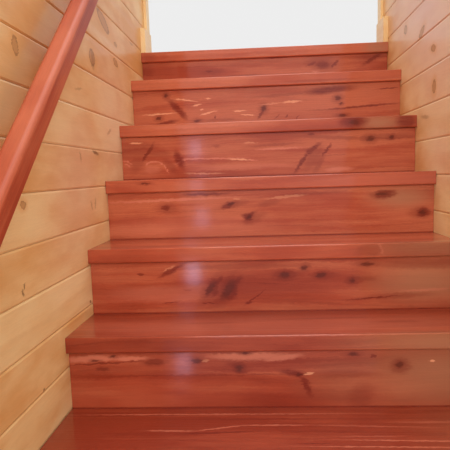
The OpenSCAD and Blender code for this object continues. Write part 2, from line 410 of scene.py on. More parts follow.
# %% [markdown]
# Cedar is red-brown heartwood with orange and salmon bands. The group puts the bands, rings, streaks
# and knots together with the masks of the marks, and gives the colour, the roughness under the
# clear coat and the height of the surface. A ring's width and the depth of the heart are in metres.

# %% Group: cedar
CEDAR_RING, CEDAR_HEART = 0.0052, 0.06


def make_cedar_group():
    graph, start = new_group(
        "Cedar", Place=ORIGIN, Near=FAR, Seed=0.0, Tone=0.0, Dark=0.0, Cream=0.0, Pale=0.0, Brown=0.0)
    grain = graph.group(PLANK_GRAIN, Place=start["Place"], Seed=start["Seed"], Ring=CEDAR_RING,
                        Heart=CEDAR_HEART)
    slow = graph.plus(graph.times(grain["Bands"], 0.65), graph.times(grain["Cloud"], 0.35))
    shade = graph.plus(graph.remap(slow, 0.32, 0.68), start["Tone"])
    colour = graph.ramp(shade, [(0.0, CEDAR_RED), (0.5, CEDAR_MID), (1.0, CEDAR_LIGHT)])
    lines = graph.times(graph.minus(1.0, grain["Rings"]), 0.1)
    colour = graph.mix(lines, colour, CEDAR_DARK)
    light_streak = graph.remap(grain["Streak"], 0.6, 0.78, 0.0, 0.32)
    colour = graph.mix(light_streak, colour, CEDAR_LIGHT)
    dark_streak = graph.remap(grain["Streak"], 0.24, 0.42, 0.35, 0.0)
    colour = graph.mix(dark_streak, colour, CEDAR_DARK)
    fibre = graph.remap(grain["Fibre"], 0.3, 0.7, 0.93, 1.05)
    colour = graph.mix(1.0, colour, graph.join(fibre, fibre, fibre), "MULTIPLY")
    # Brown patches: partly the wood's own, partly painted reflection at the right ends of the steps.
    colour = graph.mix(graph.times(start["Brown"], 0.8), colour, CEDAR_BROWN)
    colour = graph.mix(graph.times(start["Pale"], 0.75), colour, CEDAR_PALE)
    halo = graph.remap(start["Near"], 0.8, 2.8, 0.4, 0.0)
    colour = graph.mix(halo, colour, CEDAR_DARK)
    # The dark mask also carries painted shade: the seam at a riser's foot, shadows under the nosings and
    # darker left ends.
    mottled = graph.times(start["Dark"], graph.remap(grain["Fibre"], 0.35, 0.65, 0.65, 0.95))
    colour = graph.mix(mottled, colour, CEDAR_DARK)
    core = graph.remap(start["Near"], 0.45, 1.3, 0.8, 0.0)
    colour = graph.mix(core, colour, CEDAR_KNOT)
    colour = graph.mix(graph.times(start["Cream"], 0.7), colour, CEDAR_CREAM)
    roughness = graph.plus(0.42, graph.times(grain["Rings"], 0.12))
    height = graph.minus(grain["Rings"], core)
    return graph.finish(Colour=colour, Roughness=roughness, Height=height)


CEDAR = make_cedar_group()
print("group:", CEDAR.name)


# %% [markdown]
# Pine is pale and yellow, with faint rings. Its knots are brown ovals inside a thin dark line.
# Two masks paint light on the pine: a rosy painted reflection, and a darker band along the rail that is
# painted shade and the rail's painted reflection.

# %% Group: pine
PINE_RING, PINE_HEART = 0.0066, 0.05


def make_pine_group():
    graph, start = new_group(
        "Pine", Place=ORIGIN, Near=FAR, Seed=0.0, Tone=0.0, Dark=0.0, Rosy=0.0, Worn=0.0)
    grain = graph.group(PLANK_GRAIN, Place=start["Place"], Seed=start["Seed"], Ring=PINE_RING,
                        Heart=PINE_HEART)
    slow = graph.plus(graph.times(grain["Bands"], 0.5), graph.times(grain["Cloud"], 0.5))
    shade = graph.plus(graph.remap(slow, 0.3, 0.7), start["Tone"])
    colour = graph.ramp(shade, [(0.0, PINE_DEEP), (0.5, PINE_MID), (1.0, PINE_LIGHT)])
    lines = graph.times(graph.minus(1.0, grain["Rings"]), 0.14)
    colour = graph.mix(lines, colour, PINE_DEEP)
    dark_streak = graph.remap(grain["Streak"], 0.24, 0.42, 0.3, 0.0)
    colour = graph.mix(dark_streak, colour, PINE_DEEP)
    # Painted reflection: the rosy mask tints the boards as if they mirrored the red steps and a window.
    colour = graph.mix(graph.times(start["Rosy"], 0.7), colour, PINE_PAINTED_REFLECTION)
    # Painted shade and the rail's painted reflection: the straight darker band along the rail.
    colour = graph.mix(graph.times(start["Worn"], 0.6), colour, PINE_RAIL_SHADE)
    fibre = graph.remap(grain["Fibre"], 0.3, 0.7, 0.96, 1.03)
    colour = graph.mix(1.0, colour, graph.join(fibre, fibre, fibre), "MULTIPLY")
    halo = graph.remap(start["Near"], 0.9, 2.6, 0.45, 0.0)
    colour = graph.mix(halo, colour, PINE_DEEP)
    core = graph.remap(start["Near"], 0.85, 1.05, 0.6, 0.0)
    colour = graph.mix(core, colour, PINE_KNOT)
    rising = graph.remap(start["Near"], 0.72, 0.98)
    falling = graph.remap(start["Near"], 0.98, 1.16, 0.5, 0.0)
    outline = graph.times(rising, falling)
    colour = graph.mix(outline, colour, PINE_LINE)
    colour = graph.mix(graph.times(start["Dark"], 0.75), colour, PINE_LINE)
    roughness = graph.plus(0.45, graph.times(grain["Rings"], 0.1))
    height = graph.minus(grain["Rings"], outline)
    return graph.finish(Colour=colour, Roughness=roughness, Height=height)


PINE = make_pine_group()
print("group:", PINE.name)


# %% [markdown]
# A material joins a wood group to the Principled shader. What is the same all over, such as the
# strength of the clear coat, is set on the shader's own socket. The grain's height goes through a
# Bump node into Normal, while the coat keeps the smooth surface, as a thick varnish does.
#
# The marks of a board are written as (kind, along, up, length, width, tilt). What runs along the
# board is counted in thousandths of its length from the left end, what runs up in millimetres from
# its lower edge, and the tilt in degrees. A seventh value, where there is one, makes a mark hollow.
# A "faint" mark has less than half the strength, and a "straight" one isn't ragged. A stain mark is a
# faint dark one, partly dark wood and partly painted shade, and a "haze" is a faint pale one. Cream and
# pale marks are sapwood, and brown ones are wide dull patches, partly the wood's own and partly painted
# reflection at the right ends of the steps. On pine, the wide rosy tones near the steps and high on the
# right wall are painted reflection, and the darker band along the rail is painted shade and the rail's
# painted reflection.

# %% Wood materials
MM = 0.001
SOFTNESS = {"Dark": 0.55, "Cream": 0.45, "Pale": 0.5, "Brown": 0.9, "Rosy": 0.95, "Worn": 0.95}
FAINT = 0.45
# A stain mark is faint and dark: partly dark wood and partly painted shade.
FAINT_NAMES = {"stain_and_shade": "dark faint", "haze": "pale faint"}
BUMP_STRENGTH, BUMP_HEIGHT = 0.2, 0.0006
WOOD_SPECULAR = 0.25
PINE_COAT_ROUGHNESS = 0.25


def new_material(name):
    material = bpy.data.materials.new(name)
    material.use_nodes = True
    shader = material.node_tree.nodes["Principled BSDF"]
    return material, Graph(material.node_tree), shader


def object_place(graph, origin):
    place = graph.node("ShaderNodeTexCoord").outputs["Object"]
    return graph.vector("SUBTRACT", place, tuple(origin))


def plank_place(graph, axes, origin, turn=None):
    """Object coordinates from the plank's origin, as (along the grain, across the face, into the wood)."""
    place = object_place(graph, origin)
    if turn:
        rotate = graph.node("ShaderNodeVectorRotate", rotation_type="EULER_XYZ")
        graph.plug(rotate.inputs["Vector"], place)
        rotate.inputs["Rotation"].default_value = turn
        place = rotate.outputs[0]
    parts = dict(zip("xyz", graph.split(place)))
    return graph.join(*[parts[axis] for axis in axes])


def add_marks(graph, place, marks, seed, unit=MM):
    """Chains the knots and the marks of a board, and gives the bent place, the knots and the masks."""
    ragged = graph.group(RAGGED_PLACE, Place=place, Seed=seed)["Place"]
    near = FAR
    masks = {}
    for kind, along, up, length, width, tilt, *hollow in marks:
        shape = {"Centre": (along * unit, up * MM, 0.0), "Length": length * unit, "Width": width * MM,
                 "Tilt": math.radians(tilt)}
        name, _, manner = FAINT_NAMES.get(kind, kind).capitalize().partition(" ")
        if name == "Knot":
            knot = graph.group(ONE_KNOT, Place=ragged, Near=near, **shape)
            ragged = knot["Place"]
            near = knot["Near"]
        else:
            strength = FAINT if manner == "faint" else 1.0
            masks[name] = graph.group(ONE_MARK, Place=place if manner == "straight" else ragged,
                                      Mask=masks.get(name, 0.0), Strength=strength, Softness=SOFTNESS[name],
                                      Hollow=hollow[0] if hollow else 0.0, **shape)["Mask"]
    return ragged, near, masks


def finish_wood(graph, shader, wood, coat, coat_roughness):
    graph.plug(shader.inputs["Base Color"], wood["Colour"])
    graph.plug(shader.inputs["Roughness"], wood["Roughness"])
    shader.inputs["Specular IOR Level"].default_value = WOOD_SPECULAR
    shader.inputs["Coat Weight"].default_value = coat
    shader.inputs["Coat Roughness"].default_value = coat_roughness
    relief = graph.node("ShaderNodeBump")
    relief.inputs["Strength"].default_value = BUMP_STRENGTH
    relief.inputs["Distance"].default_value = BUMP_HEIGHT
    graph.plug(relief.inputs["Height"], wood["Height"])
    graph.plug(shader.inputs["Normal"], relief.outputs["Normal"])


def cedar_material(name, seed, make_place, marks=(), tone=0.0, share=0.5, middle=0.0, spread=0.12, size=0.016,
                   coat=0.75, coat_roughness=0.09):
    material, graph, shader = new_material(name)
    place, near, masks = add_marks(graph, make_place(graph), marks, seed, BOARD_LENGTH / 1000)
    knot = graph.group(SCATTERED_KNOTS, Place=place, Near=near, Seed=seed, Spacing=0.3, Middle=middle,
                       Spread=spread, Size=size, Share=share)
    wood = graph.group(CEDAR, Place=knot["Place"], Near=knot["Near"], Seed=seed, Tone=tone, **masks)
    finish_wood(graph, shader, wood, coat, coat_roughness)
    return material


def pine_material(name, seed, axes, origin, tone=0.0, turn=None, share=0.3, coat=0.35):
    material, graph, shader = new_material(name)
    place = plank_place(graph, axes, origin, turn)
    knot = graph.group(SCATTERED_KNOTS, Place=place, Seed=seed, Spacing=0.4, Spread=0.1, Size=0.02,
                       Share=share)
    wood = graph.group(PINE, Place=knot["Place"], Near=knot["Near"], Seed=seed, Tone=tone)
    finish_wood(graph, shader, wood, coat, PINE_COAT_ROUGHNESS)
    return material


print("wood materials ready")


# %% [markdown]
# A node from the frame keeps its mesh and takes modifiers. Sharp edges never look real,
# so a weld joins the mesh's corners and a small bevel eases them before the material goes on.

# %% Dress a node
WOOD_EASE, METAL_EASE = 0.0015, 0.0005
EASED_ANGLE = 40
WELD_GAP = 0.00002


def dress(node_name, material, ease=WOOD_EASE):
    piece = nodes[node_name]
    weld = piece.modifiers.new("Weld", "WELD")
    weld.merge_threshold = WELD_GAP
    if ease:
        bevel = piece.modifiers.new("Ease", "BEVEL")
        bevel.width = ease
        bevel.segments = 2
        bevel.limit_method = "ANGLE"
        bevel.angle_limit = math.radians(EASED_ANGLE)
    piece.data.materials.clear()
    piece.data.materials.append(material)
    for face in piece.data.polygons:
        face.material_index = 0


def middle(node_name):
    low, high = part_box(node_name)
    return tuple((low + high) / 2)


print("wood edges are eased by", WOOD_EASE * 1000, "mm")


# %% [markdown]
# At the left end of riser_09 the grain curves like the side of a bowl. A curved streak is laid out as
# a chain of short straight ones round a centre, each a little longer than its share.

# %% A curved streak
OVERLAP = 1.15


def arc(kind, along, up, radius, first, last, streaks, width):
    """The streaks of one curve, from the first angle to the last, in degrees."""
    step = (last - first) / streaks
    length = OVERLAP * radius * abs(math.radians(step))
    chain = []
    for number in range(streaks):
        angle = first + step * (number + 0.5)
        across, rise = math.cos(math.radians(angle)), math.sin(math.radians(angle))
        chain.append((kind, along + radius * across, up + radius * rise, length, width, angle - 90))
    return chain


CURVED_GRAIN = (arc("pale", 4, 62, 39, 95, 40, 3, 5) + arc("pale", 4, 62, 28, 80, 40, 2, 4)
                + arc("pale", 112, 50, 46, 130, 10, 6, 5))
print("curved grain:", len(CURVED_GRAIN), "short streaks")

# %% [markdown]
# These are the marks that can be seen on the steps, board by board. The lower steps have none on
# this list, and get knots of their own from the scatter.
# Some of them are painted light: dark marks and stains along the top of a riser, under the nosing, are the
# nosing's painted shadow, stains at the left ends of steps are painted shade, and brown patches at the right
# ends are partly painted reflection.

# %% Marks on the risers
RISER_MARKS = {
    "riser_11": [
        ("stain_and_shade", 738, 109, 120, 56, -8), ("dark", 742, 104, 66, 34, 0), ("dark", 697, 110, 44, 12, 19),
        ("dark", 788, 106, 40, 12, 42), ("stain_and_shade", 946, 135, 130, 40, 12), ("dark", 945, 122, 90, 16, 30),
        ("stain_and_shade", 290, 97, 90, 20, 4), ("dark", 275, 98, 34, 10, 0), ("dark", 545, 144, 90, 12, 0),
        ("stain_and_shade", 15, 108, 60, 56, 0), ("pale", 711, 80, 30, 8, 0), ("stain_and_shade", 400, 75, 180, 12, 2),
        ("haze", 200, 60, 300, 14, 1)],
    "riser_10": [
        ("knot", 127, 160, 17, 16, 0), ("dark", 170, 110, 92, 22, -48), ("cream", 102, 95, 118, 5, 2),
        ("cream", 201, 142, 84, 5, -9), ("cream", 242, 122, 34, 6, 10), ("cream", 286, 145, 20, 5, 0),
        ("cream", 286, 93, 62, 5, 13), ("cream", 262, 106, 14, 4, 0), ("cream", 404, 96, 46, 5, 0),
        ("cream", 435, 80, 50, 5, -3), ("cream", 600, 121, 66, 8, 2), ("cream faint", 528, 117, 90, 5, 3),
        ("knot", 496, 101, 22, 22, 30), ("dark", 484, 84, 40, 10, 60), ("knot", 96, 80, 22, 14, 0),
        ("knot", 243, 66, 26, 11, 0), ("dark", 120, 62, 90, 14, 10), ("dark", 311, 76, 8, 12, 0),
        ("knot", 772, 127, 24, 18, 0), ("knot", 784, 111, 14, 12, 0), ("knot", 789, 66, 34, 11, 0),
        ("dark", 546, 71, 24, 4, 43), ("dark", 581, 71, 18, 4, 45), ("dark", 622, 67, 18, 4, 45),
        ("dark", 740, 157, 170, 26, 4), ("dark", 858, 95, 270, 7, 3), ("stain_and_shade", 728, 88, 130, 6, 0),
        ("dark", 955, 155, 70, 5, 3), ("stain_and_shade", 330, 66, 120, 10, 0), ("stain_and_shade", 560, 146, 200, 10, 2)],
    "riser_09": CURVED_GRAIN + [
        ("cream", 52, 158, 38, 5, -3), ("dark", 89, 124, 76, 14, 54), ("stain_and_shade", 56, 103, 84, 44, 66),
        ("haze", 104, 70, 50, 26, 0), ("stain_and_shade", 60, 130, 150, 50, 0),
        ("dark", 199, 100, 60, 26, -68), ("stain_and_shade", 168, 80, 66, 26, -50),
        ("stain_and_shade", 130, 122, 90, 24, 0), ("stain_and_shade", 331, 141, 26, 10, -4),
        ("pale", 205, 94, 46, 4, 20), ("pale", 310, 100, 220, 5, -1),
        ("cream", 405, 94, 70, 6, -3), ("pale", 452, 91, 30, 5, -6), ("cream faint", 445, 147, 44, 5, -1),
        ("cream faint", 287, 52, 140, 5, -2), ("pale", 547, 126, 150, 7, 1),
        ("pale", 747, 52, 90, 14, 2), ("haze", 420, 70, 300, 18, 0), ("dark", 652, 168, 18, 8, 0),
        ("stain_and_shade", 759, 153, 290, 12, -4), ("knot", 850, 147, 30, 18, 0), ("knot", 921, 150, 18, 11, 0),
        ("dark", 659, 121, 60, 16, 36), ("dark", 646, 112, 24, 18, 0), ("dark", 621, 80, 84, 12, 55),
        ("dark", 703, 114, 52, 9, 53), ("stain_and_shade", 678, 73, 70, 22, 62), ("stain_and_shade", 660, 92, 90, 46, 54),
        ("stain_and_shade", 520, 138, 180, 8, 2), ("stain_and_shade", 930, 152, 150, 16, 0)],
    "riser_08": [
        ("pale", 205, 154, 380, 7, 1), ("cream faint", 555, 154, 110, 8, 5), ("dark", 182, 130, 34, 18, 0),
        ("stain_and_shade", 185, 130, 66, 30, 0), ("knot", 386, 137, 24, 10, 10), ("dark", 372, 131, 40, 14, 16),
        ("stain_and_shade", 390, 134, 90, 18, 10), ("cream faint", 402, 151, 20, 5, 0), ("knot", 441, 97, 18, 14, 25),
        ("dark", 443, 98, 46, 12, 33), ("dark", 435, 96, 36, 12, -20), ("stain_and_shade", 455, 92, 70, 26, 20),
        ("knot", 843, 154, 40, 10, 4), ("dark", 852, 152, 64, 22, 8), ("brown", 905, 142, 150, 50, 0),
        ("knot", 967, 97, 20, 16, 0), ("dark", 968, 97, 42, 20, 3), ("stain_and_shade", 960, 97, 70, 30, 0),
        ("haze", 260, 70, 520, 60, 0), ("dark", 307, 168, 130, 9, 0), ("stain_and_shade", 500, 136, 70, 18, 10),
        ("stain_and_shade", 640, 162, 200, 8, 1)],
    "riser_07": [
        ("dark", 142, 145, 20, 6, 0), ("dark", 226, 153, 76, 13, 26), ("cream faint", 216, 157, 34, 4, 26),
        ("stain_and_shade", 270, 100, 26, 5, 0), ("knot", 333, 102, 52, 18, 56), ("knot", 382, 98, 62, 24, 54),
        ("stain_and_shade", 360, 100, 110, 56, 50), ("dark", 456, 78, 58, 4, 36), ("dark", 437, 64, 16, 7, 0),
        ("knot", 538, 135, 32, 17, 5), ("stain_and_shade", 545, 133, 70, 22, 0), ("knot", 592, 152, 20, 14, 30),
        ("knot", 637, 133, 30, 14, 8), ("stain_and_shade", 650, 133, 70, 14, 0), ("knot", 720, 116, 18, 14, 0),
        ("stain_and_shade", 745, 119, 80, 12, 4), ("knot", 760, 160, 38, 11, 0), ("dark", 783, 70, 150, 5, 4),
        ("stain_and_shade", 840, 74, 180, 14, 2), ("haze", 915, 88, 120, 6, 2), ("brown", 925, 110, 260, 100, 0),
        ("stain_and_shade", 410, 160, 330, 14, 0), ("dark", 330, 64, 44, 4, 0), ("dark", 220, 66, 40, 3, 4),
        ("stain_and_shade", 910, 158, 240, 26, 0), ("haze", 200, 90, 300, 40, 0), ("dark", 352, 108, 16, 60, -30),
        ("dark", 402, 104, 14, 64, -30), ("dark", 388, 84, 30, 18, 0)],
    "riser_06": [
        ("pale", 55, 160, 150, 15, 2), ("dark", 90, 149, 190, 4, 3), ("pale", 150, 160, 90, 10, 0),
        ("pale", 440, 162, 190, 19, 0), ("pale", 520, 158, 90, 13, 6), ("knot", 110, 166, 14, 7, 0),
        ("knot", 64, 155, 20, 5, 0), ("dark", 82, 135, 32, 9, 0), ("dark", 210, 150, 60, 17, 0),
        ("knot", 313, 152, 24, 13, 0), ("cream faint", 336, 152, 18, 3, 0), ("knot", 416, 133, 18, 14, -30),
        ("stain_and_shade", 412, 138, 60, 18, -20), ("knot", 434, 170, 20, 7, 0), ("knot", 688, 164, 26, 9, 0),
        ("dark", 734, 160, 14, 6, 0), ("dark", 545, 121, 60, 15, -8), ("knot", 560, 118, 18, 8, 0),
        ("cream", 585, 119, 22, 4, 6), ("dark", 576, 92, 56, 15, -66), ("knot", 798, 138, 22, 17, 0),
        ("stain_and_shade", 798, 134, 46, 30, 0), ("cream", 870, 146, 13, 5, 0), ("stain_and_shade", 670, 118, 130, 18, 0),
        ("stain_and_shade", 330, 118, 500, 4, 0), ("brown", 930, 110, 380, 130, 0), ("stain_and_shade", 706, 62, 70, 50, 60),
        ("brown faint", 690, 100, 200, 90, 0), ("stain_and_shade", 300, 172, 560, 6, 0)],
}
print("marks on", len(RISER_MARKS), "risers:", sum(len(marks) for marks in RISER_MARKS.values()))

# %% Marks on the treads
TREAD_MARKS = {
    "landing_nosing": [
        ("brown", 960, -20, 90, 44, 0), ("haze", 500, -10, 700, 12, 0),
        ("stain_and_shade", 30, -20, 60, 30, 0)],
    "tread_10": [("haze", 300, -8, 420, 10, 0), ("stain_and_shade", 700, -26, 240, 8, 0)],
    "tread_09": [
        ("dark", 790, -12, 86, 36, 0), ("knot", 796, -16, 40, 18, 0), ("brown", 880, -20, 120, 40, 0),
        ("dark", 968, -18, 66, 40, 0), ("haze", 300, -10, 420, 12, 0)],
    "tread_08": [
        ("knot", 124, -11, 30, 6, 0), ("haze", 830, -26, 330, 9, 1), ("haze", 880, -20, 560, 44, 0)],
    "tread_07": [
        ("stain_and_shade", 940, -22, 280, 44, 0), ("stain_and_shade", 752, -16, 50, 26, 20),
        ("haze", 794, -12, 34, 8, -70), ("stain_and_shade", 770, -16, 60, 34, 0, 0.4),
        ("brown", 960, -8, 320, 70, 0), ("stain_and_shade", 850, 2, 140, 40, 0), ("haze", 500, 3, 560, 6, 0)],
    "tread_06": [
        ("haze", 620, 2, 640, 7, 0), ("stain_and_shade", 330, 120, 160, 16, 0),
        ("stain_and_shade", 620, 150, 260, 12, 2), ("stain_and_shade", 820, 110, 110, 24, 0),
        ("brown", 940, -20, 420, 60, 0), ("stain_and_shade", 100, -22, 560, 50, 0),
        ("haze", 480, 95, 1000, 160, 0)],
    "tread_05": [
        ("pale", 355, 197, 640, 6, 0), ("pale", 268, 110, 116, 6, -1), ("pale", 372, 123, 104, 6, 16),
        ("pale", 495, 137, 150, 6, 0), ("haze", 700, 131, 270, 6, -3), ("dark", 366, 101, 190, 8, 4),
        ("stain_and_shade", 200, 96, 160, 16, 0), ("haze", 700, 81, 120, 6, 0), ("dark", 577, 49, 80, 5, 0),
        ("stain_and_shade", 620, 104, 300, 10, -2), ("stain_and_shade", 500, 170, 600, 8, 0),
        ("pale", 820, 60, 330, 5, -2), ("pale", 760, 34, 420, 5, -1), ("haze", 880, 150, 240, 8, 0),
        ("brown faint", 1020, 110, 300, 240, 0)],
}
print("marks on", len(TREAD_MARKS), "treads:", sum(len(marks) for marks in TREAD_MARKS.values()))


# %% [markdown]
# A tread shows its top and its rounded front edge. Its marks are measured up from that edge, and the
# coordinate runs on over the edge and down the front as negative numbers, so that the grain and the
# knots wrap round the nosing instead of stopping at it.
#
# The foot of a riser is hidden behind the tread in front of it, so the crease between the two is
# a tread's thickness above the riser's lower edge. A straight dark line there is painted shade.

# %% Treads and risers
def tread_place(node_name):
    low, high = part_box(node_name)

    def make(graph):
        x, y, z = graph.split(object_place(graph, (low.x, low.y, high.z)))
        return graph.join(x, graph.plus(y, z), 0.0)

    return make


def riser_place(node_name, base):
    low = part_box(node_name)[0]
    return lambda graph: plank_place(graph, "xzy", (low.x, low.y, base))


SEAM_HEIGHT, SEAM_LENGTH, SEAM_WIDTH = 38, 3000, 5
# Painted shade: a straight dark line in the crease where a riser meets the tread in front of it.
SEAM_SHADE = ("dark straight", 500, SEAM_HEIGHT, SEAM_LENGTH, SEAM_WIDTH, 0)
# Each step's tone is partly its board's own colour and partly painted shade: the lower steps are darker.
TREAD_TONES_AND_SHADE = {"landing_nosing": 0.45, "tread_10": 0.5, "tread_09": 0.1, "tread_08": 0.1, "tread_07": 0.0,
               "tread_06": -0.35, "tread_05": -0.4}
RISER_TONES_AND_SHADE = {"riser_11": 0.3, "riser_10": 0.45, "riser_09": 0.2, "riser_08": 0.3, "riser_07": 0.05,
               "riser_06": -0.15}
TREAD_SEED, RISER_SEED = 0.5, 30.2
for number, name in enumerate(treads + ["landing_nosing"]):
    marks = TREAD_MARKS.get(name, ())
    dress(name, cedar_material(name + "_cedar", number + TREAD_SEED, tread_place(name), marks,
                               tone=TREAD_TONES_AND_SHADE.get(name, -0.1), share=0.0 if marks else 0.5, middle=0.1,
                               spread=0.26))
for number, name in enumerate(risers):
    marks = RISER_MARKS.get(name, []) + [SEAM_SHADE]
    wood = cedar_material(name + "_cedar", number + RISER_SEED, riser_place(name, number * RISE), marks,
                          tone=RISER_TONES_AND_SHADE.get(name, 0.0), share=0.0 if name in RISER_MARKS else 0.6,
                          middle=0.1)
    dress(name, wood)
print("dressed", len(treads) + 1, "treads and", len(risers), "risers")

# %% Handrail
RAIL_SEED = 77.7
rail_turn = (-SLOPE, 0.0, 0.0)
rail_middle = middle("handrail")
dress("handrail", cedar_material("handrail_cedar", RAIL_SEED,
                                 lambda graph: plank_place(graph, "yxz", rail_middle, rail_turn),
                                 tone=0.2, share=0.2, spread=0.04, size=0.01, coat=0.2, coat_roughness=0.5))
print("handrail dressed")

# %% Hidden framing
FRAMING_TONE = -0.1
FRAMING = [(("carriage_left", "carriage_middle", "carriage_right"), 3.1, "yzx", rail_turn, WOOD_EASE),
           (("landing_header", "kicker_plate"), 8.1, "xzy", None, WOOD_EASE),
           (("left_wall_frame", "right_wall_frame"), 12.1, "zyx", None, 0.0)]
for names, seed, axes, turn, ease in FRAMING:
    for number, name in enumerate(names):
        wood = pine_material(name + "_wood", number + seed, axes, middle(name), FRAMING_TONE, turn, coat=0.0)
        dress(name, wood, ease)
print("framing dressed")

# %% Trim
TRIM_TONE = 0.2
TRIM = [("front_trim", 21.3, "zyx", None, 0.1), ("back_trim", 21.3, "zyx", None, 0.1),
        ("baseboard", 25.3, "yzx", None, 0.0), ("wall_cap", 27.3, "yxz", rail_turn, 0.2)]
for number, side in enumerate(["left", "right"]):
    for part, seed, axes, turn, share in TRIM:
        name = side + "_" + part
        dress(name, pine_material(name + "_pine", number + seed, axes, middle(name), TRIM_TONE, turn, share))
print("trim dressed")

# %% Brackets
bronze, graph, shader = new_material("dark_bronze")
shader.inputs["Metallic"].default_value = 1.0
spot = graph.noise(graph.node("ShaderNodeTexCoord").outputs["Object"], 60.0, 3.0)
graph.plug(shader.inputs["Base Color"], graph.mix(spot, METAL, METAL_WORN))
graph.plug(shader.inputs["Roughness"], graph.remap(spot, 0.3, 0.7, 0.3, 0.45))
for name in ("rail_bracket_low", "rail_bracket_middle", "rail_bracket_high"):
    dress(name, bronze, METAL_EASE)
print("brackets dressed in", bronze.name)


# %% [markdown]
# The walls are faced with tongue-and-groove boards. On the real wall each board is a separate piece
# with its two long edges planed off, so that two boards meet in a V groove. A bump map would show
# the lines, but it would be flat in profile and lost in the mesh, so every board is built: its
# outline is cut to the slope of the wall's top, pushed back to the board's thickness, and the two
# long edges of its face are bevelled. The groove is wider than it is deep, so that its lower side
# catches the light. Between two boards there is a narrow open joint. In the picture the upper boards
# look deeper and more orange, so a board gets a deeper tone the higher it lies.
# That deeper tone is painted shade.

# %% Wall boards
BOARD_FACE = 0.104
GROOVE, GROOVE_DEPTH, JOINT = 0.004, 0.0018, 0.0007
NARROWEST_BOARD = 2.2 * GROOVE
AT_THE_EDGE, THE_SAME = 0.001, 0.0001
# Painted shade: how much deeper a board's tone gets per metre of height.
PAINTED_SHADE_WITH_HEIGHT, EVEN_HEIGHT = 0.35, 1.2


def below_slope(outline, low_end, high_end):
    """Cuts a convex outline of (along, up) points to what lies under the line between two points."""
    slope = (high_end[1] - low_end[1]) / (high_end[0] - low_end[0])

    def over(point):
        return point[1] - low_end[1] - slope * (point[0] - low_end[0])

    kept = []
    for here, there in zip(outline, outline[1:] + outline[:1]):
        if over(here) <= 0:
            kept.append(here)
        if over(here) * over(there) < 0:
            share = over(here) / (over(here) - over(there))
            kept.append((here[0] + share * (there[0] - here[0]), here[1] + share * (there[1] - here[1])))
    return kept


def wall_outline(node_name):
    corners = [vertex.co for vertex in nodes[node_name].data.vertices]
    low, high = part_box(node_name)
    front_top = max(corner.z for corner in corners if corner.y < low.y + AT_THE_EDGE)
    knee = min(corner.y for corner in corners if corner.z > high.z - AT_THE_EDGE)
    return low, high, front_top, knee


def long_edges(face, low, high):
    """The level edges of a board's face that lie against another board."""
    found = []
    for edge in face.edges:
        start, end = edge.verts[0].co.z, edge.verts[1].co.z
        level = abs(start - end) < THE_SAME
        if level and not (start > high.z - AT_THE_EDGE or start < low.z + AT_THE_EDGE):
            found.append(edge)
    return found


def board_wall(node_name, joint_at, faces_left, seed):
    low, high, front_top, knee = wall_outline(node_name)
    face_x = low.x if faces_left else high.x
    back_x = high.x if faces_left else low.x
    mesh = bmesh.new()
    tones = mesh.faces.layers.float_vector.new("board")
    draw = random.Random(seed)
    row_low = joint_at - BOARD_FACE * math.ceil((joint_at - low.z) / BOARD_FACE)
    rows = 0
    while row_low < high.z:
        bottom = max(low.z, row_low + JOINT / 2)
        top = min(high.z, row_low + BOARD_FACE - JOINT / 2)
        outline = [(low.y, bottom), (high.y, bottom), (high.y, top), (low.y, top)]
        outline = below_slope(outline, (low.y, front_top), (knee, high.z))
        number = draw.random()
        # Painted shade: besides its own random tone, a board is deeper the higher it lies.
        tone = draw.uniform(-0.12, 0.12) - PAINTED_SHADE_WITH_HEIGHT * (row_low - EVEN_HEIGHT)
        if len(outline) >= 3 and top - bottom > NARROWEST_BOARD:
            ring = [mesh.verts.new((face_x, y, z)) for y, z in outline]
            face = mesh.faces.new(ring)
            pushed = bmesh.ops.extrude_face_region(mesh, geom=[face])["geom"]
            for vertex in (item for item in pushed if isinstance(item, bmesh.types.BMVert)):
                vertex.co.x = back_x
            bmesh.ops.bevel(mesh, geom=long_edges(face, low, high), offset=GROOVE, segments=1,
                            affect="EDGES", profile=0.5)
            for vertex in mesh.verts:
                if abs(abs(vertex.co.x - face_x) - GROOVE) < THE_SAME:
                    vertex.co.x = face_x + math.copysign(GROOVE_DEPTH, back_x - face_x)
            for side in mesh.faces:
                if side[tones].length == 0:
                    side[tones] = (number, tone, row_low + BOARD_FACE / 2)
            rows += 1
        row_low += BOARD_FACE
    bmesh.ops.recalc_face_normals(mesh, faces=mesh.faces[:])
    data = bpy.data.meshes.new(node_name + "_planks")
    mesh.to_mesh(data)
    mesh.free()
    piece = bpy.data.objects.new(node_name + "_planks", data)
    bpy.context.scene.collection.objects.link(piece)
    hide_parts(node_name)
    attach(piece, "root")
    print(piece.name, rows, "boards,", len(data.polygons), "faces")
    return piece


print("a board shows", BOARD_FACE * 1000, "mm from joint to joint")


# %% [markdown]
# The marks that show on the walls are written as (kind, along the wall, up, length, height, tilt) in
# millimetres, from the middle of the flight and from the floor. Wide tones run on over many boards.
# Among them, the rosy tones are painted reflection, and the band along the rail is painted shade and the
# rail's painted reflection.

